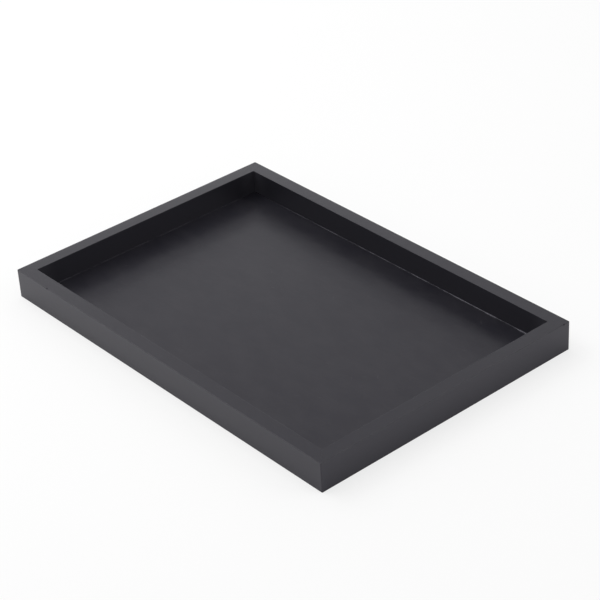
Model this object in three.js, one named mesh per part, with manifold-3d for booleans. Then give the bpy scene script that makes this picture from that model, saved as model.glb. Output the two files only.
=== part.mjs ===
// A black-painted wooden serving tray, in millimetres, with +Z up.
// Four rails, mitred at the corners, stand around a floor panel. The panel lies in a rabbet along the
// foot of the rails, glued to the rabbet's shelf and held by brads driven up from below. A V-shaped
// wedge nail, pressed up from the underside, pins each glued mitre.
// The origin is the middle of the tray, on the surface that it stands on. X runs along the long rails,
// and the front is towards -Y.

import * as THREE from "three";
import { mergeVertices } from "three/addons/utils/BufferGeometryUtils.js";
import Module from "manifold-3d";

// The tray outside
const trayLength = 440;
const trayWidth = 300;
const trayHeight = 30;
const cornerRadius = 1; // the upright outside corners, sanded round

// The rails' section
const railThickness = 14;
const footWidth = 7; // what the rabbet leaves of the rail's underside, on which the tray stands
const arrisRadius = 0.4; // the long outside edges, eased by sanding
const innerArrisRadius = 0.2; // the edge above the well, left crisper

// The floor panel
const floorThickness = 5;
const floorRecess = 0.3; // its underside lies this far above the rails' feet
const floorEdgeGap = 0.5; // from its edges to the rabbet's walls

// Between two glued faces, at the mitres and above the floor's border
const glueLine = 0.2;

// The wedge nails in the mitres
const wedgeHeight = 15;
const wedgeLegLength = 5;
const wedgeThickness = 0.5;
const wedgeHalfAngle = THREE.MathUtils.degToRad(35); // from the mitre to each leg of the V
const wedgeSetDepth = 0.3; // driven in past the rails' feet
const wedgeClearance = 0.15;

// The brads under the floor's border
const bradLength = 16;
const bradShankDiameter = 1.2;
const bradPointLength = 1.6;
const bradHeadDiameter = 2.6;
const bradHeadThickness = 0.6;
const bradSetDepth = 0.2; // driven in past the floor's underside
const bradPitch = 110; // the most from one brad to the next
const bradClearance = 0.15;

// Facets and cutting
const arcSteps = 3;
const bradSides = 10;
const cutMargin = 1; // how far a cutting body runs past what it cuts
const weldDistance = 1e-4;

// What follows from these sizes
const floorTop = floorRecess + floorThickness;
const shelfHeight = floorTop + glueLine;
const bradInset = (footWidth + floorEdgeGap + railThickness) / 2;
const bradFoot = floorRecess + bradSetDepth;

// A side is a rail with its brads, and with the wedge nail in its right-hand corner as seen from
// outside. It is drawn with its outside face on y = 0, its middle on x = 0 and the tray behind it.
const sides = [
  { name: "front", rail: "front_long_rail", span: trayLength, across: trayWidth, corner: "front_right" },
  { name: "right", rail: "right_end_rail", span: trayWidth, across: trayLength, corner: "rear_right" },
  { name: "rear", rail: "rear_long_rail", span: trayLength, across: trayWidth, corner: "rear_left" },
  { name: "left", rail: "left_end_rail", span: trayWidth, across: trayLength, corner: "front_left" },
];

const paintedWood = new THREE.MeshStandardMaterial({ color: 0x1d1d1f, roughness: 0.4, metalness: 0 });
const paintedBoard = new THREE.MeshStandardMaterial({ color: 0x1a1a1c, roughness: 0.45, metalness: 0 });
const steel = new THREE.MeshStandardMaterial({ color: 0x8c8e92, roughness: 0.4, metalness: 1 });

const wasm = await Module();
wasm.setup();

function toSolid(geometry) {
  const bare = geometry.clone();
  bare.deleteAttribute("normal");
  bare.deleteAttribute("uv");
  const welded = mergeVertices(bare, weldDistance);
  const vertProperties = welded.getAttribute("position").array;
  const triVerts = new Uint32Array(welded.index.array);
  return new wasm.Manifold(new wasm.Mesh({ numProp: 3, vertProperties, triVerts }));
}

function toGeometry(solid) {
  const mesh = solid.getMesh();
  const geometry = new THREE.BufferGeometry();
  geometry.setAttribute("position", new THREE.BufferAttribute(mesh.vertProperties, 3));
  geometry.setIndex(new THREE.BufferAttribute(mesh.triVerts, 1));
  geometry.computeVertexNormals();
  return geometry;
}

function cutFrom(solid, cutters) {
  return cutters.reduce((left, cutter) => left.subtract(toSolid(cutter)), solid);
}

// An outline drawn from above, raised from one height to another
function upright(outline, bottom, top) {
  const settings = { depth: top - bottom, bevelEnabled: false, curveSegments: arcSteps };
  return new THREE.ExtrudeGeometry(outline, settings).translate(0, 0, bottom);
}

// The rail's section: how far in from its outside face, and how high
function railSection() {
  const inner = railThickness - innerArrisRadius;
  const section = new THREE.Shape();
  section.moveTo(footWidth, 0);
  section.lineTo(footWidth, shelfHeight);
  section.lineTo(railThickness, shelfHeight);
  section.absarc(inner, trayHeight - innerArrisRadius, innerArrisRadius, 0, Math.PI / 2);
  section.absarc(arrisRadius, trayHeight - arrisRadius, arrisRadius, Math.PI / 2, Math.PI);
  section.absarc(arrisRadius, arrisRadius, arrisRadius, Math.PI, 1.5 * Math.PI);
  return section;
}

// The rail from above: its ends cut at 45 degrees, half a glue line back from the corner's diagonal,
// and the outside corner rounded up to that cut
function railPlan(span) {
  const half = span / 2;
  const setBack = glueLine / Math.SQRT2;
  const inner = railThickness + cutMargin;
  const dip = (Math.sqrt(2 * cornerRadius ** 2 - setBack ** 2) + setBack) / 2;
  const meet = Math.atan2(-dip, dip - setBack);
  const plan = new THREE.Shape();
  plan.absarc(cornerRadius - half, cornerRadius, cornerRadius, Math.PI - meet, 1.5 * Math.PI);
  plan.absarc(half - cornerRadius, cornerRadius, cornerRadius, -Math.PI / 2, meet);
  plan.lineTo(half - inner - setBack, inner);
  plan.lineTo(setBack + inner - half, inner);
  return plan;
}

// Where a side's brads stand along it, evenly between the inside corners
function bradPlaces(span) {
  const inside = span - 2 * railThickness;
  const count = Math.ceil(inside / bradPitch);
  return Array.from({ length: count }, (_, i) => ((i + 0.5) / count - 0.5) * inside);
}

// A brad with its head down. Its hole is the same body, grown all round and open at the head.
function brad(clearance, below) {
  const shank = bradShankDiameter / 2 + clearance;
  const head = bradHeadDiameter / 2 + clearance;
  const neck = bradHeadThickness + clearance;
  const profile = [
    new THREE.Vector2(0, -below),
    new THREE.Vector2(head, -below),
    new THREE.Vector2(head, neck),
    new THREE.Vector2(shank, neck),
    new THREE.Vector2(shank, bradLength - bradPointLength + clearance),
    new THREE.Vector2(0, bradLength + clearance),
  ];
  return new THREE.LatheGeometry(profile, bradSides).rotateX(Math.PI / 2);
}

// A wedge nail from above, its point at the origin and its legs opening along +X
function wedgeOutline(clearance) {
  const half = wedgeThickness / 2 + clearance;
  const reach = wedgeLegLength + clearance;
  const cos = Math.cos(wedgeHalfAngle);
  const sin = Math.sin(wedgeHalfAngle);
  return new THREE.Shape([
    new THREE.Vector2(-half / sin, 0),
    new THREE.Vector2(reach * cos - half * sin, -reach * sin - half * cos),
    new THREE.Vector2(reach * cos + half * sin, -reach * sin + half * cos),
    new THREE.Vector2(half / sin, 0),
    new THREE.Vector2(reach * cos + half * sin, reach * sin - half * cos),
    new THREE.Vector2(reach * cos - half * sin, reach * sin + half * cos),
  ]);
}

// The wedge nail's place on a side, at its right-hand end (1) or its left-hand end (-1): midway along
// the mitre where it crosses the foot
function wedgePlace(span, end) {
  const reach = wedgeLegLength * Math.cos(wedgeHalfAngle);
  const along = (footWidth * Math.SQRT2 - reach) / 2;
  const inset = along / Math.SQRT2;
  return { x: end * (span / 2 - inset), y: inset, turn: Math.PI / 2 + (end * Math.PI) / 4 };
}

function railGeometry(span) {
  const alongX = new THREE.Matrix4().makeBasis(
    new THREE.Vector3(0, 1, 0),
    new THREE.Vector3(0, 0, 1),
    new THREE.Vector3(1, 0, 0),
  );
  const settings = { depth: span, bevelEnabled: false, curveSegments: arcSteps };
  const length = new THREE.ExtrudeGeometry(railSection(), settings);
  length.applyMatrix4(alongX).translate(-span / 2, 0, 0);
  const plan = upright(railPlan(span), -cutMargin, trayHeight + cutMargin);
  const slotTop = wedgeSetDepth + wedgeHeight + wedgeClearance;
  const slots = [-1, 1].map((end) => {
    const place = wedgePlace(span, end);
    const slot = upright(wedgeOutline(wedgeClearance), -cutMargin, slotTop);
    return slot.rotateZ(place.turn).translate(place.x, place.y, 0);
  });
  const holes = bradPlaces(span).map((x) => {
    return brad(bradClearance, cutMargin).translate(x, bradInset, bradFoot);
  });
  const mitred = toSolid(length).intersect(toSolid(plan));
  return toGeometry(cutFrom(mitred, [...slots, ...holes]));
}

function floorGeometry() {
  const halfLength = trayLength / 2 - footWidth - floorEdgeGap;
  const halfWidth = trayWidth / 2 - footWidth - floorEdgeGap;
  const outline = new THREE.Shape([
    new THREE.Vector2(-halfLength, -halfWidth),
    new THREE.Vector2(halfLength, -halfWidth),
    new THREE.Vector2(halfLength, halfWidth),
    new THREE.Vector2(-halfLength, halfWidth),
  ]);
  const holes = sides.flatMap((side, quarter) => {
    return bradPlaces(side.span).map((x) => {
      const hole = brad(bradClearance, cutMargin);
      return hole.translate(x, bradInset - side.across / 2, bradFoot).rotateZ((quarter * Math.PI) / 2);
    });
  });
  return toGeometry(cutFrom(toSolid(upright(outline, floorRecess, floorTop)), holes));
}

function piece(name, geometry, material) {
  const mesh = new THREE.Mesh(geometry, material);
  mesh.name = name;
  return mesh;
}

function sideGroup(side) {
  const group = new THREE.Group();
  group.add(piece(side.rail, railGeometry(side.span), paintedWood));
  bradPlaces(side.span).forEach((x, i) => {
    const pin = piece(`floor_brad_${side.name}_${i + 1}`, brad(0, 0), steel);
    pin.position.set(x, bradInset, bradFoot);
    group.add(pin);
  });
  const place = wedgePlace(side.span, 1);
  const wedge = piece(`mitre_wedge_${side.corner}`, upright(wedgeOutline(0), 0, wedgeHeight), steel);
  wedge.position.set(place.x, place.y, wedgeSetDepth);
  wedge.rotation.z = place.turn;
  group.add(wedge);
  return group;
}

const tray = new THREE.Group();
tray.add(piece("floor_panel", floorGeometry(), paintedBoard));
sides.forEach((side, quarter) => {
  const placed = sideGroup(side);
  placed.position.y = -side.across / 2;
  const turned = new THREE.Group();
  turned.rotation.z = (quarter * Math.PI) / 2;
  turned.add(placed);
  tray.add(turned);
});

export default tray;
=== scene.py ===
# The looks of a black serving tray: painted rails, a painted floor, and the steel that pins them.
# Metres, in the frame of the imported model: X runs along the long rails, the front is towards -Y.

import math

import bmesh
import bpy
from mathutils import Matrix, Vector


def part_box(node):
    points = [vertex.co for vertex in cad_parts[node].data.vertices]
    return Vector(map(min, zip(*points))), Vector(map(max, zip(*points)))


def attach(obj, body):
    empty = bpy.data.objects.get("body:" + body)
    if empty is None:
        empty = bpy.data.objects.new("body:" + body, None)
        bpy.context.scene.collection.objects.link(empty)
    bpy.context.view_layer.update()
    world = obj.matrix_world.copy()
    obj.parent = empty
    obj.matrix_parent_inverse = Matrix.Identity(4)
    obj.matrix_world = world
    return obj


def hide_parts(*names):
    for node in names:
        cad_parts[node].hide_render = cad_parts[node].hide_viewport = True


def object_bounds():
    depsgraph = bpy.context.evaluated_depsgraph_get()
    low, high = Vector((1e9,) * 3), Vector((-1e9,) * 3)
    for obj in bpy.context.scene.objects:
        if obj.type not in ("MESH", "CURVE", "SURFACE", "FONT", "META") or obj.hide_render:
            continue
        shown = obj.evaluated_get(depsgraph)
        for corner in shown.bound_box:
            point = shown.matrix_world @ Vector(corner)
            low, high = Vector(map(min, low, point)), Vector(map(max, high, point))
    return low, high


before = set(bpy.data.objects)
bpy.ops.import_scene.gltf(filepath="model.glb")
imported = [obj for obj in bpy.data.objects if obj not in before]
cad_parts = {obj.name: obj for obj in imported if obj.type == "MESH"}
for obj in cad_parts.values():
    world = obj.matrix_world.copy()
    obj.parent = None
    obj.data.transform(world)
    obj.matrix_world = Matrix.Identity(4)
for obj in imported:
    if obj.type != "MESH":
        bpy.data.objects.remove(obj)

CAD_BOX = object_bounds()
MM = 0.001

# Sizes that the frame gives
TRAY_LOW, TRAY_HIGH = CAD_BOX
TRAY_LENGTH, TRAY_WIDTH, TRAY_HEIGHT = TRAY_HIGH - TRAY_LOW
RAIL_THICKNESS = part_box("front_long_rail")[1].y - TRAY_LOW.y
FLOOR_LOW, FLOOR_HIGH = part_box("floor_panel")

# The rails, anticlockwise from the front: the node, its span, and the tray's size across it
SIDES = (
    ("front_long_rail", TRAY_LENGTH, TRAY_WIDTH),
    ("right_end_rail", TRAY_WIDTH, TRAY_LENGTH),
    ("rear_long_rail", TRAY_LENGTH, TRAY_WIDTH),
    ("left_end_rail", TRAY_WIDTH, TRAY_LENGTH),
)
FLOOR_EDGE_GAP = 0.5 * MM
GLUE_LINE = 0.2 * MM
FOOT_WIDTH = FLOOR_LOW.y - TRAY_LOW.y - FLOOR_EDGE_GAP
SHELF_HEIGHT = FLOOR_HIGH.z + GLUE_LINE
ARRIS_RADIUS = 0.4 * MM
INNER_ARRIS_RADIUS = 0.2 * MM
SAWN_ARRIS_RADIUS = 0.15 * MM
ARRIS_STEPS = 4
CORNER_RADIUS = 1 * MM
MITRE_GAP = 0.03 * MM

# The steps from a rail's end to its middle: round the corner, straight to a square section, and on
CORNER_STEPS = 8
STRAIGHT_STEPS = 1
MIDDLE_STEPS = 8
RAIL_STEPS = CORNER_STEPS + STRAIGHT_STEPS + MIDDLE_STEPS

# Two knocks in the outside top arris: the rail, how far along it from its middle, and how big
KNOCKS = (
    ("front_long_rail", 50 * MM - TRAY_LENGTH / 2, 1.2 * MM),
    ("right_end_rail", TRAY_WIDTH / 2 - 7.5 * MM, 1.1 * MM),
)
KNOCK_STRETCH = 1.5
KNOCK_SUBDIVISIONS = 3

# The floor's edges
FLOOR_ARRIS_RADIUS = 0.3 * MM
FLOOR_ARRIS_STEPS = 3
ROUND_PROFILE = 0.5

# The steel
WEDGE_LEG = 5 * MM
WEDGE_THICKNESS = 0.5 * MM
WEDGE_HALF_ANGLE = math.radians(35)
WEDGE_FOLD_STEPS = 6
WEDGE_SLOT_CLEARANCE = 0.15 * MM
BRAD_SHANK_RADIUS = 0.6 * MM
BRAD_POINT = 1.6 * MM
BRAD_TIP_SHARE = 0.1
BRAD_HEAD_THICKNESS = 0.6 * MM
BRAD_EDGE = 0.1 * MM
BRAD_SIDES = 20
BRAD_SINK_CLEARANCE = 0.15 * MM

# The run of paint where the floor meets the walls. It grows from a thin share of its width at the left
# end to all of it at the right end, and swells and shrinks on the way.
BEAD_WIDTH = 1.25 * MM
BEAD_THIN_SHARE = 0.22
BEAD_LEAST = 0.3
BEAD_MOST = 1.7
BEAD_SWELLING = {"Scale": 55.0, "Detail": 3.0, "Roughness": 0.75}
BEAD_SWELLING_STOPS = (0.35, 0.65)
BEAD_SEED = 3.0
BEAD_STEP = 1.5 * MM
BEAD_SUNK_SHARE = 0.1
BEAD_HOLLOW_STEPS = 6

# For every piece: how far a cutting body runs past what it cuts, which points are doubles, and which
# edges stay sharp
CUT_MARGIN = 1 * MM
WELD_DISTANCE = 0.001 * MM
CREASE_ANGLE = math.radians(40)

# Colours
WHITE = (1, 1, 1, 1)
RAIL_BLACK = (0.0172, 0.0170, 0.0212, 1)
# Rubbed paint on the arrises and outer corners, lighter also as painted light over the dip in their
# reflection
RUBBED_AND_LIFTED_PAINT = (0.035, 0.0345, 0.036, 1)
# Paler paint in the inside corners: painted light against the shade that falls there
PAINTED_CORNER_LIGHT = (0.033, 0.0326, 0.039, 1)
FLOOR_BLACK = (0.0097, 0.0095, 0.0137, 1)
THIN_FLOOR_BLACK = (0.0160, 0.0157, 0.0195, 1)
SCRATCHED_PAINT = (0.06, 0.059, 0.062, 1)
STEEL_GREY = (0.42, 0.42, 0.43, 1)
OVERSPRAY = (0.03, 0.03, 0.032, 1)
TABLE_WHITE = (0.95, 0.95, 0.95, 1)

# The film of every paint here, with a slightly cool gloss
PAINT_FILM = {"IOR": 1.5, "Specular Tint": (0.90, 0.855, 1.0, 1)}

# The points of a rail carry their place on it, along, inwards and up, and half its span
RAIL_PLACE = "rail_place"
RAIL_HALF = "rail_half"

# Patterns of noise: how many cells to a metre, every way or along each axis, how much detail and how
# strong it is, and for some the levels where a pattern starts to show and where it is full. The scratches
# have a cell of their own size instead.
FIBRES = {"scale": (14, 520, 520), "detail": 5.0, "roughness": 0.65}
PORES = {"scale": (70, 1500, 1500), "detail": 2.0, "stops": (0.58, 0.7)}
SHEEN = {"scale": (14, 60, 60), "detail": 3.0, "roughness": 0.6}
RUB_PATCHES = {"scale": 70.0, "detail": 3.0, "roughness": 0.6, "stops": (0.4, 0.7)}
PEEL = {"scale": 700.0, "detail": 1.0}
STROKES = {"scale": (9, 260, 1), "detail": 3.0}
WAVES = {"scale": 75.0, "detail": 2.0}
SWELL = {"scale": 9.0, "detail": 2.0}
NIBS = {"scale": 480.0, "detail": 1.0, "stops": (0.74, 0.84)}
MOTTLE = {"scale": (28, 56, 1), "detail": 5.0, "roughness": 0.68}
USED_AREAS = {"scale": 13.0, "detail": 2.0, "stops": (0.4, 0.6)}
SCRATCHES = {"scale": 1.0, "detail": 2.0, "stops": (0.68, 0.8)}
LUMPS = {"scale": 260.0, "detail": 2.0}
VEIL = {"scale": 800.0, "detail": 4.0, "roughness": 0.7, "stops": (0.35, 0.6)}
DRAW_MARKS = {"scale": (3000, 3000, 200), "detail": 2.0}

# Where the patterns lie and how much of their colour shows
# The arrises and outer corners: wear, and painted light over the dip in their reflection
RUB_REACH = 1.2 * MM
RUB_FULL = 0.3 * MM
RUB_LEAST = 0.4
RUB_AND_LIFT_SHOWING = 0.8
# How far from an inside corner the painted light reaches
CORNER_LIGHT_REACH = 24 * MM
THIN_STOPS = (0.3, 0.7)
SCRATCH_TURNS = (0.4, -0.8)
SCRATCH_CELL = (15 * MM, 1.4 * MM, 1)
SCRATCH_SHOWING = 0.6
VEIL_DULLING = 0.9

# How high or deep the patterns are, in millimetres
FIBRE_HEIGHT = 0.03
PORE_DEPTH = 0.012
PEEL_HEIGHT = 0.003
STROKE_HEIGHT = 0.03
WAVE_HEIGHT = 0.05
SWELL_HEIGHT = 0.06
NIB_HEIGHT = 0.02
SCRATCH_DEPTH = 0.02
LUMP_HEIGHT = 0.05
DRAW_MARK_HEIGHT = 0.01

# How rough the finishes are, and how much the patterns change that
PAINT_ROUGHNESS = 0.295
BEAD_ROUGHNESS = 0.2
STEEL_ROUGHNESS = 0.3
SHEEN_CHANGE = 0.04
RUB_CHANGE = 0.08
PORE_CHANGE = 0.04
CORNER_ROUGHNESS_CHANGE = 0.1
MOTTLE_CHANGE = 0.04
SCRATCH_CHANGE = 0.03
LUMP_CHANGE = 0.06
VEIL_CHANGE = 0.15

# The camera, from the tray's corners in the photograph
CAMERA_AIM = Vector((-19.12, 34.61, 0)) * MM
CAMERA_DISTANCE = 1.899
CAMERA_AZIMUTH = math.radians(50.704)
CAMERA_ELEVATION = math.radians(32.052)
CAMERA_ROLL = math.radians(-3.514)
CAMERA_LENS = 119.43
CAMERA_SENSOR = 36

# The studio: white card under the tray, a bright room, and softboxes as name, azimuth and elevation in
# degrees, size and glow
TABLE_REACH = 40.0
SEEN_LIFT = 0.7
REFLECTED_LIFT = 0.15
ROOM_GLOW = 0.57
LAMP_DISTANCE = 2.0
SOFTBOXES = (
    ("overhead_softbox", 0, 89, (1.2, 1.2), 1.05),
    ("front_left_softbox", 315, 55, (1.0, 1.0), 2.55),
    ("left_softbox", 275, 45, (1.0, 1.0), 2.3),
    ("right_back_softbox", 128, 32, (0.9, 0.9), 1.3),
    ("back_left_softbox", 236, 12, (2.2, 0.7), 1.37),
)


class Wire:
    """An output socket. Arithmetic on it adds Math nodes to its tree."""

    def __init__(self, bench, socket):
        self.bench = bench
        self.socket = socket

    def math(self, operation, *values):
        return self.bench.add("ShaderNodeMath", {"operation": operation}, dict(enumerate(values)))[0]

    def __add__(self, other):
        return self.math("ADD", self, other)

    def __radd__(self, other):
        return self.math("ADD", other, self)

    def __sub__(self, other):
        return self.math("SUBTRACT", self, other)

    def __rsub__(self, other):
        return self.math("SUBTRACT", other, self)

    def __mul__(self, other):
        return self.math("MULTIPLY", self, other)

    def __rmul__(self, other):
        return self.math("MULTIPLY", other, self)

    def __truediv__(self, other):
        return self.math("DIVIDE", self, other)

    def __rtruediv__(self, other):
        return self.math("DIVIDE", other, self)

    def __neg__(self):
        return self.math("MULTIPLY", self, -1)

    def __abs__(self):
        return self.math("ABSOLUTE", self)

    def low(self, other):
        return self.math("MINIMUM", self, other)

    def high(self, other):
        return self.math("MAXIMUM", self, other)

    def sign(self):
        return self.math("SIGN", self)

    def sine(self):
        return self.math("SINE", self)

    def cosine(self):
        return self.math("COSINE", self)

    def root(self):
        return self.math("SQRT", self)

    def clamped(self):
        return self.high(0).low(1)

    def ramp(self, start, end):
        """A smooth step from 0 at start to 1 at end, level past both. Start may be the greater one."""
        sockets = {"Value": self, "From Min": start, "From Max": end}
        return self.bench.add("ShaderNodeMapRange", {"interpolation_type": "SMOOTHSTEP"}, sockets)[0]

    def either_way(self, change):
        """A level from 0 to 1, as a change from minus to plus half of this."""
        return (self - 0.5) * change


class Made:
    """A node that a bench added. Indexing it by name or number gives an output's wire."""

    def __init__(self, bench, node):
        self.bench = bench
        self.node = node

    def __getitem__(self, key):
        return Wire(self.bench, pick(self.node.outputs, key))


class Bench:
    """A node tree being built."""

    def __init__(self, tree):
        self.tree = tree

    def add(self, kind, settings=None, sockets=None):
        """A node of this kind, its settings made first and then its sockets set or linked."""
        node = self.tree.nodes.new(kind)
        for name, value in (settings or {}).items():
            if name == "choices":
                while len(node.index_switch_items) < value:
                    node.index_switch_items.new()
            else:
                setattr(node, name, value)
        for key, value in (sockets or {}).items():
            socket = pick(node.inputs, key)
            if isinstance(value, Wire):
                self.tree.links.new(value.socket, socket)
            else:
                socket.default_value = value
        return Made(self, node)

    def vector(self, x, y, z):
        return self.add("ShaderNodeCombineXYZ", sockets={"X": x, "Y": y, "Z": z})[0]

    def parts(self, vector):
        split = self.add("ShaderNodeSeparateXYZ", sockets={0: vector})
        return split["X"], split["Y"], split["Z"]

    def by_index(self, data_type, values):
        """The first value on point 0, the second on point 1, and so on."""
        settings = {"data_type": data_type, "choices": len(values)}
        sockets = {str(place): value for place, value in enumerate(values)}
        sockets["Index"] = self.add("GeometryNodeInputIndex")[0]
        return self.add("GeometryNodeIndexSwitch", settings, sockets)[0]

    def noise(self, place, scale, detail, roughness=0.5, stops=None):
        """The level of a pattern at a place, ramped between its stops where it has them."""
        if isinstance(scale, tuple):
            place = self.add("ShaderNodeVectorMath", {"operation": "MULTIPLY"}, {0: place, 1: scale})[0]
            scale = 1.0
        sockets = {"Vector": place, "Scale": scale, "Detail": detail, "Roughness": roughness}
        level = self.add("ShaderNodeTexNoise", {"noise_dimensions": "3D"}, sockets)[0]
        return level.ramp(*stops) if stops else level

    def turned(self, place, turn, cell):
        """The place in a pattern that is turned by this angle, and whose cells have this size."""
        sockets = {"Vector": place, "Rotation": (0, 0, turn), "Scale": cell}
        return self.add("ShaderNodeMapping", {"vector_type": "TEXTURE"}, sockets)[0]

    def mixed(self, amount, first, second):
        sockets = {"Factor": amount, "A": first, "B": second}
        return self.add("ShaderNodeMix", {"data_type": "RGBA"}, sockets)["Result"]

    def bumped(self, height_in_mm):
        sockets = {"Strength": 1.0, "Distance": MM, "Height": height_in_mm}
        return self.add("ShaderNodeBump", sockets=sockets)[0]


def pick(sockets, key):
    """A socket by its place, or the one of that name that is in use."""
    if isinstance(key, int):
        return sockets[key]
    return next(socket for socket in sockets if socket.name == key and socket.enabled)


def new_tree(name, sizes, finish, points=()):
    """A geometry tree with these named inputs: points where it wants them, sizes, and a finish."""
    kinds = dict.fromkeys(points, "NodeSocketGeometry") | dict.fromkeys(sizes, "NodeSocketFloat")
    kinds[finish] = "NodeSocketMaterial"
    tree = bpy.data.node_groups.new(name, "GeometryNodeTree")
    tree.interface.new_socket("Geometry", in_out="OUTPUT", socket_type="NodeSocketGeometry")
    for label, kind in kinds.items():
        tree.interface.new_socket(label, in_out="INPUT", socket_type=kind)
    bench = Bench(tree)
    return bench, bench.add("NodeGroupInput")


def end_tree(bench, geometry, finish):
    whole = bench.add("GeometryNodeRealizeInstances", sockets={"Geometry": geometry})[0]
    finished = bench.add("GeometryNodeSetMaterial", sockets={"Geometry": whole, "Material": finish})[0]
    bench.add("NodeGroupOutput", sockets={"Geometry": finished})


def new_object(name, data):
    piece = bpy.data.objects.new(name, data)
    bpy.context.scene.collection.objects.link(piece)
    return piece


def shape_object(name, shape, finish):
    """An object from a bmesh, which is freed."""
    mesh = bpy.data.meshes.new(name)
    shape.to_mesh(mesh)
    shape.free()
    mesh.materials.append(finish)
    return new_object(name, mesh)


def apply_modifiers(piece):
    """Turns the piece with its modifiers into a plain mesh."""
    depsgraph = bpy.context.evaluated_depsgraph_get()
    evaluated = piece.evaluated_get(depsgraph)
    mesh = bpy.data.meshes.new_from_object(evaluated, preserve_all_data_layers=True, depsgraph=depsgraph)
    piece.modifiers.clear()
    piece.data = mesh


def grown(name, tree, values, points=()):
    """An object that a geometry tree makes from these inputs and, where it wants them, points."""
    mesh = bpy.data.meshes.new(name)
    mesh.from_pydata(points, [], [])
    piece = new_object(name, mesh)
    modifier = piece.modifiers.new(tree.name, "NODES")
    modifier.node_group = tree
    for item in tree.interface.items_tree:
        if item.in_out == "INPUT" and item.name in values:
            modifier[item.identifier] = values[item.name]
    apply_modifiers(piece)
    close_up(piece.data)
    return piece


def close_up(mesh):
    """Drops empty material slots, merges doubles and turns the faces outwards."""
    for slot in reversed(range(len(mesh.materials))):
        if mesh.materials[slot] is None:
            mesh.materials.pop(index=slot)
    shape = bmesh.new()
    shape.from_mesh(mesh)
    bmesh.ops.remove_doubles(shape, verts=shape.verts, dist=WELD_DISTANCE)
    bmesh.ops.recalc_face_normals(shape, faces=shape.faces)
    shape.to_mesh(mesh)
    shape.free()


def move(piece, matrix):
    """Moves the piece's mesh, not the object."""
    piece.data.transform(matrix)
    piece.data.update()


def cut(piece, cutters):
    """Takes the cutters' shapes out of the piece, and removes the cutters."""
    for cutter in cutters:
        modifier = piece.modifiers.new("cut", "BOOLEAN")
        modifier.operation = "DIFFERENCE"
        modifier.solver = "EXACT"
        modifier.object = cutter
    apply_modifiers(piece)
    for cutter in cutters:
        bpy.data.objects.remove(cutter)


def smooth_over(piece):
    """Smooth shading that keeps the flat faces flat and the creases sharp."""
    piece.data.shade_smooth()
    piece.data.set_sharp_from_angle(angle=CREASE_ANGLE)
    modifier = piece.modifiers.new("flats", "WEIGHTED_NORMAL")
    modifier.keep_sharp = True
    apply_modifiers(piece)


def nodes_named(start):
    """The frame's nodes whose names start so, in order."""
    return sorted(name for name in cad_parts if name.startswith(start))


def direction(azimuth, elevation):
    """The way out from the tray at these angles, where azimuth 0 is the front."""
    level = math.cos(elevation)
    return Vector((math.sin(azimuth) * level, -math.cos(azimuth) * level, math.sin(elevation)))


def new_finish(name):
    material = bpy.data.materials.new(name)
    material.use_nodes = True
    material.node_tree.nodes.clear()
    return material, Bench(material.node_tree)


def end_finish(bench, shader):
    bench.add("ShaderNodeOutputMaterial", sockets={"Surface": shader})


def rail_paint():
    """Satin black on planed wood: a trace of grain, and arrises and outer corners rubbed a little and
    lighter, partly as painted light over the dip in their reflection.

    In the inside corners the paint is paler, which is painted light against the shade that falls there, and
    duller.
    """
    material, bench = new_finish("satin_black_rail")
    place = bench.add("ShaderNodeAttribute", {"attribute_name": RAIL_PLACE})["Vector"]
    half = bench.add("ShaderNodeAttribute", {"attribute_name": RAIL_HALF})["Fac"]
    along, inset, height = bench.parts(place)
    below_top = TRAY_HEIGHT - height
    to_end = half - abs(along)
    top_arris = (inset * inset + below_top * below_top).root()
    corner = (inset * inset + to_end * to_end).root()
    edge = top_arris.low(corner)
    inside = inset.ramp(RAIL_THICKNESS - INNER_ARRIS_RADIUS, RAIL_THICKNESS)
    # Painted light: paler towards each inside corner, against the shade that falls there
    corner_light = (to_end - inset).ramp(CORNER_LIGHT_REACH, 0) * inside

    fibres = bench.noise(place, **FIBRES)
    pores = bench.noise(place, **PORES)
    sheen = bench.noise(place, **SHEEN)
    patches = bench.noise(place, **RUB_PATCHES)
    # Wear and painted light: the arrises and outer corners lighter, partly to fill the dip in their
    # reflection
    rubbed_and_lifted = edge.ramp(RUB_REACH, RUB_FULL) * (RUB_LEAST + (1 - RUB_LEAST) * patches)

    black = bench.mixed(corner_light, RAIL_BLACK, PAINTED_CORNER_LIGHT)
    roughness = PAINT_ROUGHNESS + sheen.either_way(SHEEN_CHANGE) + rubbed_and_lifted * RUB_CHANGE
    shader = bench.add("ShaderNodeBsdfPrincipled", sockets=PAINT_FILM | {
        "Base Color": bench.mixed(rubbed_and_lifted * RUB_AND_LIFT_SHOWING, black, RUBBED_AND_LIFTED_PAINT),
        "Roughness": roughness + pores * PORE_CHANGE + corner_light * CORNER_ROUGHNESS_CHANGE,
        "Normal": bench.bumped(fibres * FIBRE_HEIGHT - pores * PORE_DEPTH),
    })["BSDF"]
    end_finish(bench, shader)
    return material


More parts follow.
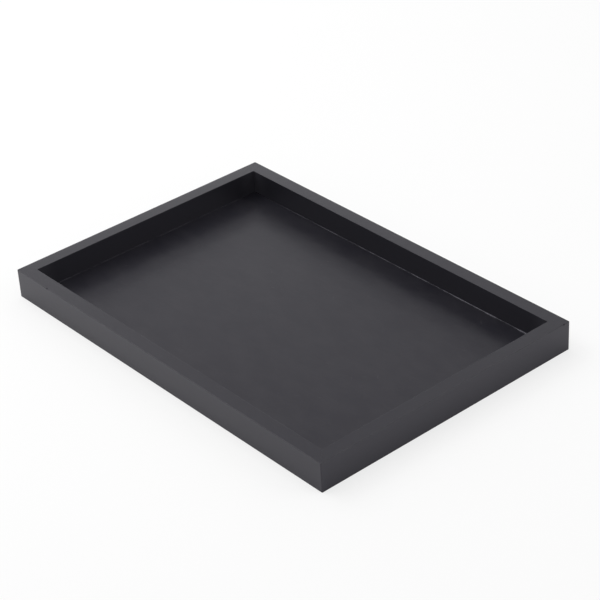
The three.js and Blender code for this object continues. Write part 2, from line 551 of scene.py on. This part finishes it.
def floor_paint():
    """The same satin black on a smooth board: brushed out along it, with dust in it and faint scuffs."""
    material, bench = new_finish("satin_black_floor")
    place = bench.add("ShaderNodeTexCoord")["Object"]
    peel = bench.noise(place, **PEEL)
    strokes = bench.noise(place, **STROKES)
    waves = bench.noise(place, **WAVES)
    swell = bench.noise(place, **SWELL)
    nibs = bench.noise(place, **NIBS)
    mottle = bench.noise(place, **MOTTLE)
    used = bench.noise(place, **USED_AREAS)
    one_way, other_way = (
        bench.noise(bench.turned(place, turn, SCRATCH_CELL), **SCRATCHES) for turn in SCRATCH_TURNS
    )
    scratches = one_way.high(other_way) * used

    black = bench.mixed(mottle.ramp(*THIN_STOPS), FLOOR_BLACK, THIN_FLOOR_BLACK)
    roughness = PAINT_ROUGHNESS + mottle.either_way(MOTTLE_CHANGE) + scratches * SCRATCH_CHANGE
    brushed = peel * PEEL_HEIGHT + strokes * STROKE_HEIGHT + waves * WAVE_HEIGHT + swell * SWELL_HEIGHT
    shader = bench.add("ShaderNodeBsdfPrincipled", sockets=PAINT_FILM | {
        "Base Color": bench.mixed(scratches * SCRATCH_SHOWING, black, SCRATCHED_PAINT),
        "Roughness": roughness,
        "Normal": bench.bumped(brushed + nibs * NIB_HEIGHT - scratches * SCRATCH_DEPTH),
    })["BSDF"]
    end_finish(bench, shader)
    return material


def bead_paint():
    """Paint that ran into the corner and dried a little glossier."""
    material, bench = new_finish("dried_paint_bead")
    place = bench.add("ShaderNodeTexCoord")["Object"]
    lumps = bench.noise(place, **LUMPS)
    shader = bench.add("ShaderNodeBsdfPrincipled", sockets=PAINT_FILM | {
        "Base Color": RAIL_BLACK,
        "Roughness": BEAD_ROUGHNESS + lumps * LUMP_CHANGE,
        "Normal": bench.bumped(lumps * LUMP_HEIGHT),
    })["BSDF"]
    end_finish(bench, shader)
    return material


def nail_steel():
    """Bright drawn wire with a veil of black overspray."""
    material, bench = new_finish("oversprayed_steel")
    place = bench.add("ShaderNodeTexCoord")["Object"]
    veil = bench.noise(place, **VEIL)
    drawn = bench.noise(place, **DRAW_MARKS)
    shader = bench.add("ShaderNodeBsdfPrincipled", sockets={
        "Base Color": bench.mixed(veil, STEEL_GREY, OVERSPRAY),
        "Metallic": 1 - veil * VEIL_DULLING,
        "Roughness": STEEL_ROUGHNESS + veil * VEIL_CHANGE,
        "Normal": bench.bumped(drawn * DRAW_MARK_HEIGHT),
    })["BSDF"]
    end_finish(bench, shader)
    return material


def mitred_rail_tree():
    """A rail: its section swept along, the ends cut at 45 degrees and the outside corners rounded.

    The sweep runs from -1 to 1. Near each end its stations swing round the corner's arc, then they
    straighten to a square section, and then they run to the middle. Half of the mitre's gap stays open
    at each end: measured along the rail, that is the square root of one half of it.
    """
    bench, given = new_tree("mitred_rail", (
        "Span",
        "Thickness",
        "Height",
        "Foot Width",
        "Shelf Height",
        "Arris Radius",
        "Inner Arris Radius",
        "Sawn Arris Radius",
        "Corner Radius",
        "Mitre Gap",
    ), "Paint")
    thickness = given["Thickness"]
    top = given["Height"]
    foot = given["Foot Width"]
    shelf = given["Shelf Height"]
    eased = given["Arris Radius"]
    crisp = given["Inner Arris Radius"]
    sawn = given["Sawn Arris Radius"]
    radius = given["Corner Radius"]

    corners = ((0, 0), (foot, 0), (foot, shelf), (thickness, shelf), (thickness, top), (0, top))
    places = [bench.vector(inset, height, 0) for inset, height in corners]
    ring = bench.add("GeometryNodeMeshCircle", sockets={"Vertices": len(corners)})[0]
    section = bench.add("GeometryNodeSetPosition", sockets={
        "Geometry": ring,
        "Position": bench.by_index("VECTOR", places),
    })[0]
    section = bench.add("GeometryNodeStoreNamedAttribute", {"data_type": "FLOAT"}, {
        "Geometry": section,
        "Name": "ease",
        "Value": bench.by_index("FLOAT", (eased, sawn, sawn, sawn, crisp, eased)),
    })[0]
    outline = bench.add("GeometryNodeMeshToCurve", sockets={"Mesh": section})[0]
    ease = bench.add("GeometryNodeInputNamedAttribute", {"data_type": "FLOAT"}, {"Name": "ease"})[0]
    outline = bench.add("GeometryNodeFilletCurve", {"mode": "POLY"}, {
        "Curve": outline,
        "Count": ARRIS_STEPS,
        "Radius": ease,
    })[0]

    line = bench.add("GeometryNodeCurvePrimitiveLine", sockets={"Start": (0, 0, -1), "End": (0, 0, 1)})[0]
    line = bench.add("GeometryNodeResampleCurve", sockets={"Curve": line, "Count": 2 * RAIL_STEPS + 1})[0]
    swept = bench.add("GeometryNodeCurveToMesh", sockets={
        "Curve": line,
        "Profile Curve": outline,
        "Fill Caps": True,
    })[0]

    inset, height, station = bench.parts(bench.add("GeometryNodeInputPosition")[0])
    from_end = (1 - abs(station)) * RAIL_STEPS
    arc = (from_end / CORNER_STEPS).clamped()
    straight = ((from_end - CORNER_STEPS) / STRAIGHT_STEPS).clamped()
    middle = ((from_end - CORNER_STEPS - STRAIGHT_STEPS) / MIDDLE_STEPS).clamped()
    bend = (radius - inset).high(0)
    past = (inset - radius).high(0)
    swing = (1 - arc) * (math.pi / 4)
    round_end = radius - bend * swing.sine() + past + arc * past.low(radius)
    square_end = thickness + radius * 2
    half = given["Span"] / 2
    back = round_end + straight * (square_end - round_end)
    back = back + middle * (half - back) + (1 - middle) * given["Mitre Gap"] * math.sqrt(0.5)
    shaped = bench.add("GeometryNodeSetPosition", sockets={
        "Geometry": swept,
        "Position": bench.vector(station.sign() * (half - back), inset + bend * (1 - swing.cosine()), height),
    })[0]
    end_tree(bench, shaped, given["Paint"])
    return bench.tree


def side_matrix(quarter, across):
    """From a rail's own frame, with its outside face on y = 0, to its place on the tray."""
    return Matrix.Rotation(quarter * math.pi / 2, 4, "Z") @ Matrix.Translation((0, -across / 2, 0))


def knock(along, size, paint):
    """A small rounded body that bites the outside top arris of a rail, in the rail's own frame."""
    shape = bmesh.new()
    bmesh.ops.create_icosphere(shape, subdivisions=KNOCK_SUBDIVISIONS, radius=size)
    bite = shape_object("knock", shape, paint)
    move(bite, Matrix.Translation((along, 0, TRAY_HEIGHT)) @ Matrix.Diagonal((KNOCK_STRETCH, 1, 1, 1)))
    return bite


def wedge_place(low, high):
    """The point of a wedge nail's V, and the turn at which its legs open towards the tray's middle."""
    centre = (low + high) / 2
    outwards = Vector((math.copysign(1, centre.x), math.copysign(1, centre.y), 0))
    corner = Vector((outwards.x * TRAY_LENGTH / 2, outwards.y * TRAY_WIDTH / 2, low.z))
    depth = (FOOT_WIDTH * math.sqrt(2) - WEDGE_LEG * math.cos(WEDGE_HALF_ANGLE)) / 2
    return corner - outwards.normalized() * depth, math.atan2(-outwards.y, -outwards.x)


def wedge_slot(node, paint):
    """The V that a wedge nail leaves under a corner of the tray, as a cutting body in the tray's frame."""
    low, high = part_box(node)
    point, turn = wedge_place(low, high)
    reach = WEDGE_LEG + WEDGE_SLOT_CLEARANCE
    half = WEDGE_THICKNESS / 2 + WEDGE_SLOT_CLEARANCE
    cos, sin = math.cos(WEDGE_HALF_ANGLE), math.sin(WEDGE_HALF_ANGLE)
    outline = (
        (-half / sin, 0),
        (reach * cos - half * sin, -reach * sin - half * cos),
        (reach * cos + half * sin, -reach * sin + half * cos),
        (half / sin, 0),
        (reach * cos + half * sin, reach * sin - half * cos),
        (reach * cos - half * sin, reach * sin + half * cos),
    )
    shape = bmesh.new()
    face = shape.faces.new([shape.verts.new((x, y, -CUT_MARGIN)) for x, y in outline])
    raised = bmesh.ops.extrude_face_region(shape, geom=[face])["geom"]
    lift = Vector((0, 0, high.z + WEDGE_SLOT_CLEARANCE + CUT_MARGIN))
    bmesh.ops.translate(shape, vec=lift, verts=[v for v in raised if isinstance(v, bmesh.types.BMVert)])
    bmesh.ops.recalc_face_normals(shape, faces=shape.faces)
    slot = shape_object("wedge_slot", shape, paint)
    move(slot, Matrix.Translation((point.x, point.y, 0)) @ Matrix.Rotation(turn, 4, "Z"))
    return slot


def mark_rail(mesh, to_rail, span):
    """Keeps each point's place along, in from the outside of, and up its rail, for the paint."""
    places = [number for vertex in mesh.vertices for number in to_rail @ vertex.co]
    mesh.attributes.new(RAIL_PLACE, "FLOAT_VECTOR", "POINT").data.foreach_set("vector", places)
    halves = [span / 2] * len(mesh.vertices)
    mesh.attributes.new(RAIL_HALF, "FLOAT", "POINT").data.foreach_set("value", halves)


def make_rails(paint):
    """The four rails, with the knocks in their arrises and the wedge nails' slots in their ends."""
    tree = mitred_rail_tree()
    values = {
        "Thickness": RAIL_THICKNESS,
        "Height": TRAY_HEIGHT,
        "Foot Width": FOOT_WIDTH,
        "Shelf Height": SHELF_HEIGHT,
        "Arris Radius": ARRIS_RADIUS,
        "Inner Arris Radius": INNER_ARRIS_RADIUS,
        "Sawn Arris Radius": SAWN_ARRIS_RADIUS,
        "Corner Radius": CORNER_RADIUS,
        "Mitre Gap": MITRE_GAP,
        "Paint": paint,
    }
    for quarter, (node, span, across) in enumerate(SIDES):
        rail = grown(f"painted_{node}", tree, values | {"Span": span})
        knocks = [knock(along, size, paint) for where, along, size in KNOCKS if where == node]
        if knocks:
            cut(rail, knocks)
        placing = side_matrix(quarter, across)
        move(rail, placing)
        side = node.split("_")[0]
        cut(rail, [wedge_slot(wedge, paint) for wedge in nodes_named("mitre_wedge") if side in wedge])
        smooth_over(rail)
        mark_rail(rail.data, placing.inverted(), span)
        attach(rail, "root")
        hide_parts(node)


def make_floor(paint, sinks):
    """The floor board, its edges eased and the brads' sinks cut into its underside."""
    shape = bmesh.new()
    bmesh.ops.create_cube(shape, size=1)
    size = FLOOR_HIGH - FLOOR_LOW
    placing = Matrix.Translation((FLOOR_LOW + FLOOR_HIGH) / 2) @ Matrix.Diagonal((*size, 1))
    bmesh.ops.transform(shape, matrix=placing, verts=shape.verts)
    bmesh.ops.bevel(
        shape,
        geom=shape.edges,
        offset=FLOOR_ARRIS_RADIUS,
        segments=FLOOR_ARRIS_STEPS,
        profile=ROUND_PROFILE,
        affect="EDGES",
    )
    floor = shape_object("painted_floor_panel", shape, paint)
    cut(floor, [sinks])
    smooth_over(floor)
    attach(floor, "root")
    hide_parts("floor_panel")


def turned_pins_tree():
    """A brad on each point: a flat head below, a round shank and a tapered point."""
    bench, given = new_tree("turned_pins", (
        "Length",
        "Head Radius",
        "Head Thickness",
        "Shank Radius",
        "Point Length",
        "Edge",
        "Below",
    ), "Steel", ("Points",))
    length = given["Length"]
    head = given["Head Radius"]
    neck = given["Head Thickness"]
    shank = given["Shank Radius"]
    edge = given["Edge"]
    below = given["Below"]
    stations = (
        (-below, head - edge),
        (edge - below, head),
        (neck - edge, head),
        (neck, shank + edge),
        (neck + edge, shank),
        (length - given["Point Length"], shank),
        (length, shank * BRAD_TIP_SHARE),
    )
    heights = [bench.vector(0, 0, height) for height, _ in stations]
    line = bench.add("GeometryNodeCurvePrimitiveLine")[0]
    line = bench.add("GeometryNodeResampleCurve", sockets={"Curve": line, "Count": len(stations)})[0]
    line = bench.add("GeometryNodeSetPosition", sockets={
        "Geometry": line,
        "Position": bench.by_index("VECTOR", heights),
    })[0]
    ring = bench.add("GeometryNodeCurvePrimitiveCircle", sockets={"Resolution": BRAD_SIDES, "Radius": 1.0})[0]
    pin = bench.add("GeometryNodeCurveToMesh", sockets={
        "Curve": line,
        "Profile Curve": ring,
        "Scale": bench.by_index("FLOAT", [radius for _, radius in stations]),
        "Fill Caps": True,
    })[0]
    pins = bench.add("GeometryNodeInstanceOnPoints", sockets={
        "Points": given["Points"],
        "Instance": pin,
    })[0]
    end_tree(bench, pins, given["Steel"])
    return bench.tree


def make_brads(steel, paint):
    """The brads under the floor's border. Returns the body that cuts their sinks into the painted floor."""
    nodes = nodes_named("floor_brad")
    boxes = [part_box(name) for name in nodes]
    feet = [Vector(((low.x + high.x) / 2, (low.y + high.y) / 2, low.z)) for low, high in boxes]
    low, high = boxes[0]
    tree = turned_pins_tree()
    values = {
        "Length": high.z - low.z,
        "Head Radius": (high.y - low.y) / 2,
        "Head Thickness": BRAD_HEAD_THICKNESS,
        "Shank Radius": BRAD_SHANK_RADIUS,
        "Point Length": BRAD_POINT,
        "Edge": BRAD_EDGE,
        "Below": 0.0,
        "Steel": steel,
    }
    brads = grown("floor_brads", tree, values, feet)
    smooth_over(brads)
    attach(brads, "root")
    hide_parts(*nodes)
    widened = ("Length", "Head Radius", "Head Thickness", "Shank Radius")
    sinks = values | {size: values[size] + BRAD_SINK_CLEARANCE for size in widened}
    return grown("sinks", tree, sinks | {"Below": CUT_MARGIN, "Steel": paint}, feet)


def wedge_nail_tree():
    """A folded strip of steel, its legs opening along +X, from above."""
    sizes = ("Leg", "Half Angle", "Thickness", "Height", "Fold Radius")
    bench, given = new_tree("wedge_nail", sizes, "Steel")
    forward = given["Leg"] * given["Half Angle"].cosine()
    aside = given["Leg"] * given["Half Angle"].sine()
    places = [bench.vector(forward, -aside, 0), bench.vector(0, 0, 0), bench.vector(forward, aside, 0)]
    line = bench.add("GeometryNodeCurvePrimitiveLine")[0]
    line = bench.add("GeometryNodeResampleCurve", sockets={"Curve": line, "Count": len(places)})[0]
    fold = bench.add("GeometryNodeSetPosition", sockets={
        "Geometry": line,
        "Position": bench.by_index("VECTOR", places),
    })[0]
    fold = bench.add("GeometryNodeFilletCurve", {"mode": "POLY"}, {
        "Curve": fold,
        "Count": WEDGE_FOLD_STEPS,
        "Radius": given["Fold Radius"],
    })[0]
    strip = bench.add("GeometryNodeCurvePrimitiveQuadrilateral", sockets={
        "Width": given["Thickness"],
        "Height": given["Height"],
    })[0]
    nail = bench.add("GeometryNodeCurveToMesh", sockets={
        "Curve": fold,
        "Profile Curve": strip,
        "Fill Caps": True,
    })[0]
    end_tree(bench, nail, given["Steel"])
    return bench.tree


def make_wedges(steel):
    """A wedge nail in each mitre."""
    tree = wedge_nail_tree()
    for node in nodes_named("mitre_wedge"):
        low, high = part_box(node)
        wedge = grown(f"steel_{node}", tree, {
            "Leg": WEDGE_LEG,
            "Half Angle": WEDGE_HALF_ANGLE,
            "Thickness": WEDGE_THICKNESS,
            "Height": high.z - low.z,
            "Fold Radius": WEDGE_THICKNESS / 2,
            "Steel": steel,
        })
        point, turn = wedge_place(low, high)
        middle = Vector((point.x, point.y, (low.z + high.z) / 2))
        move(wedge, Matrix.Translation(middle) @ Matrix.Rotation(turn, 4, "Z"))
        smooth_over(wedge)
        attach(wedge, "root")
        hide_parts(node)


def paint_bead_tree():
    """A run of paint along the foot of the walls, hollow in front, of uneven width.

    Its section, in widths of the bead, has the walls' foot at its origin and is sunk into wall and floor.
    """
    sizes = ("Length", "Width", "Height", "Bead", "Thin Share", "Step", "Seed")
    bench, given = new_tree("paint_bead", sizes, "Paint")
    foot = bench.add("GeometryNodeCurvePrimitiveQuadrilateral", sockets={
        "Width": given["Length"],
        "Height": given["Width"],
    })[0]
    foot = bench.add("GeometryNodeResampleCurve", {"mode": "LENGTH"}, {
        "Curve": foot,
        "Length": given["Step"],
    })[0]
    foot = bench.add("GeometryNodeSetPosition", sockets={
        "Geometry": foot,
        "Offset": bench.vector(0, 0, given["Height"]),
    })[0]

    sunk = BEAD_SUNK_SHARE
    turns = [math.pi / 2 * step / BEAD_HOLLOW_STEPS for step in range(BEAD_HOLLOW_STEPS + 1)]
    hollow = [(math.sin(turn) - 1, math.cos(turn) - 1) for turn in turns]
    corners = [(sunk, sunk), (sunk - 1, sunk), *hollow, (sunk, sunk - 1)]
    ring = bench.add("GeometryNodeMeshCircle", sockets={"Vertices": len(corners)})[0]
    ring = bench.add("GeometryNodeSetPosition", sockets={
        "Geometry": ring,
        "Position": bench.by_index("VECTOR", [bench.vector(x, y, 0) for x, y in corners]),
    })[0]
    section = bench.add("GeometryNodeMeshToCurve", sockets={"Mesh": ring})[0]

    place = bench.add("GeometryNodeInputPosition")[0]
    sockets = BEAD_SWELLING | {"Vector": place, "W": given["Seed"]}
    uneven = bench.add("ShaderNodeTexNoise", {"noise_dimensions": "4D"}, sockets)[0]
    swelling = BEAD_LEAST + (BEAD_MOST - BEAD_LEAST) * uneven.ramp(*BEAD_SWELLING_STOPS)
    rightwards = bench.parts(place)[0] / given["Length"] + 0.5
    share = given["Thin Share"] + (1 - given["Thin Share"]) * rightwards * rightwards
    bead = bench.add("GeometryNodeCurveToMesh", sockets={
        "Curve": foot,
        "Profile Curve": section,
        "Scale": given["Bead"] * share * swelling,
    })[0]
    end_tree(bench, bead, given["Paint"])
    return bench.tree


def make_bead(paint):
    """The run of paint all round the floor."""
    bead = grown("paint_bead", paint_bead_tree(), {
        "Length": TRAY_LENGTH - 2 * RAIL_THICKNESS,
        "Width": TRAY_WIDTH - 2 * RAIL_THICKNESS,
        "Height": FLOOR_HIGH.z,
        "Bead": BEAD_WIDTH,
        "Thin Share": BEAD_THIN_SHARE,
        "Step": BEAD_STEP,
        "Seed": BEAD_SEED,
        "Paint": paint,
    })
    smooth_over(bead)
    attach(bead, "root")


def make_camera():
    back = direction(CAMERA_AZIMUTH, CAMERA_ELEVATION)
    flat_right = Vector((math.cos(CAMERA_AZIMUTH), math.sin(CAMERA_AZIMUTH), 0))
    flat_up = back.cross(flat_right)
    right = flat_right * math.cos(CAMERA_ROLL) + flat_up * math.sin(CAMERA_ROLL)
    up = flat_up * math.cos(CAMERA_ROLL) - flat_right * math.sin(CAMERA_ROLL)
    lens = bpy.data.cameras.new("camera")
    lens.lens = CAMERA_LENS
    lens.sensor_width = CAMERA_SENSOR
    camera = new_object("camera", lens)
    turn = Matrix((right, up, back)).transposed().to_4x4()
    camera.matrix_world = Matrix.Translation(CAMERA_AIM + back * CAMERA_DISTANCE) @ turn
    bpy.context.scene.camera = camera


def table_finish():
    """White card that keeps the tray's shadow, lifted towards white for the camera and reflections."""
    material, bench = new_finish("white_card")
    card = bench.add("ShaderNodeBsdfDiffuse", sockets={"Color": TABLE_WHITE})[0]
    glow = bench.add("ShaderNodeEmission", sockets={"Color": WHITE, "Strength": 1.0})[0]
    ray = bench.add("ShaderNodeLightPath")
    reflected = ray["Is Glossy Ray"].high(ray["Is Transmission Ray"])
    lift = (ray["Is Camera Ray"] * SEEN_LIFT).high(reflected * REFLECTED_LIFT)
    shader = bench.add("ShaderNodeMixShader", sockets={0: lift, 1: card, 2: glow})[0]
    end_finish(bench, shader)
    return material


def make_table():
    shape = bmesh.new()
    bmesh.ops.create_grid(shape, x_segments=1, y_segments=1, size=TABLE_REACH)
    shape_object("table", shape, table_finish())


def make_room():
    world = bpy.data.worlds.new("studio")
    world.use_nodes = True
    world.node_tree.nodes.clear()
    bench = Bench(world.node_tree)
    glow = bench.add("ShaderNodeBackground", sockets={"Color": WHITE, "Strength": ROOM_GLOW})[0]
    bench.add("ShaderNodeOutputWorld", sockets={"Surface": glow})
    bpy.context.scene.world = world


def make_softbox(name, azimuth, elevation, size, glow):
    """A lamp that faces the tray. A glow of 1 is as bright as white card."""
    away = direction(math.radians(azimuth), math.radians(elevation))
    light = bpy.data.lights.new(name, "AREA")
    light.shape = "RECTANGLE"
    light.size, light.size_y = size
    light.energy = math.pi * light.size * light.size_y * glow
    lamp = new_object(name, light)
    turn = away.to_track_quat("Z", "Y").to_matrix().to_4x4()
    lamp.matrix_world = Matrix.Translation(away * LAMP_DISTANCE) @ turn


bpy.context.scene.view_settings.view_transform = "Standard"
make_camera()
make_table()
make_room()
for softbox in SOFTBOXES:
    make_softbox(*softbox)

steel = nail_steel()
black_floor = floor_paint()
make_rails(rail_paint())
sinks = make_brads(steel, black_floor)
make_floor(black_floor, sinks)
make_wedges(steel)
make_bead(bead_paint())
